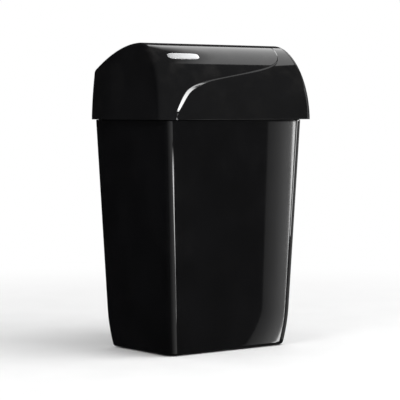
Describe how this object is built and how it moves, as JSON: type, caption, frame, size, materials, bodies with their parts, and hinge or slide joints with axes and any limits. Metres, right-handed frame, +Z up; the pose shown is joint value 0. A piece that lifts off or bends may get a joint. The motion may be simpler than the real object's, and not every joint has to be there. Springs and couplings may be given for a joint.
{
  "type": "waste bin with hinged hood",
  "caption": "Wall or floor standing washroom waste bin: tapered plastic bucket with a rear-hinged rounded hood, fixed back panel and tilting bag ring.",
  "frame": {"origin": "on the floor under the middle of the overall box", "axes": "+Z up; -Y towards the front of the hood; +Y towards the wall; +X to the right as seen from the front"},
  "size_m": [0.358, 0.217, 0.56],
  "materials": {
    "bucket_plastic": "gloss black moulded plastic",
    "hood_plastic": "gloss black moulded plastic",
    "panel_plastic": "fine-grained black moulded plastic",
    "ring_plastic": "satin dark grey moulded plastic",
    "bush_plastic": "natural bearing plastic",
    "rubber": "matt black rubber",
    "rod_steel": "drawn steel rod",
    "screw_steel": "zinc-plated steel",
    "badge_metal": "satin plain plate"
  },
  "bodies": {
    "bin": {"bin_body": "bucket_plastic", "back_panel": "panel_plastic", "panel_screws": "screw_steel", "hinge_rod": "rod_steel", "rod_cap_left": "panel_plastic", "rod_cap_right": "panel_plastic", "ring_clip_left": "panel_plastic", "ring_clip_right": "panel_plastic", "foot_front_left": "rubber", "foot_front_right": "rubber", "foot_rear_left": "rubber", "foot_rear_right": "rubber", "buffer_left": "rubber", "buffer_right": "rubber"},
    "hood": {"lid_hood": "hood_plastic", "hinge_arm_left": "panel_plastic", "hinge_arm_right": "panel_plastic", "arm_screws": "screw_steel", "hinge_bush_left": "bush_plastic", "hinge_bush_right": "bush_plastic", "blank_badge": "badge_metal"},
    "bag_ring": {"bag_ring": "ring_plastic"}
  },
  "joints": [
    {"name": "hood_hinge", "type": "hinge", "parent": "bin", "child": "hood", "pos_m": [0, 0.086, 0.5065], "axis": [-1, 0, 0], "range_deg": [0, 70]},
    {"name": "ring_tilt", "type": "hinge", "parent": "bin", "child": "bag_ring", "pos_m": [0, 0.082, 0.45], "axis": [-1, 0, 0], "range_deg": [0, 8]}
  ]
}
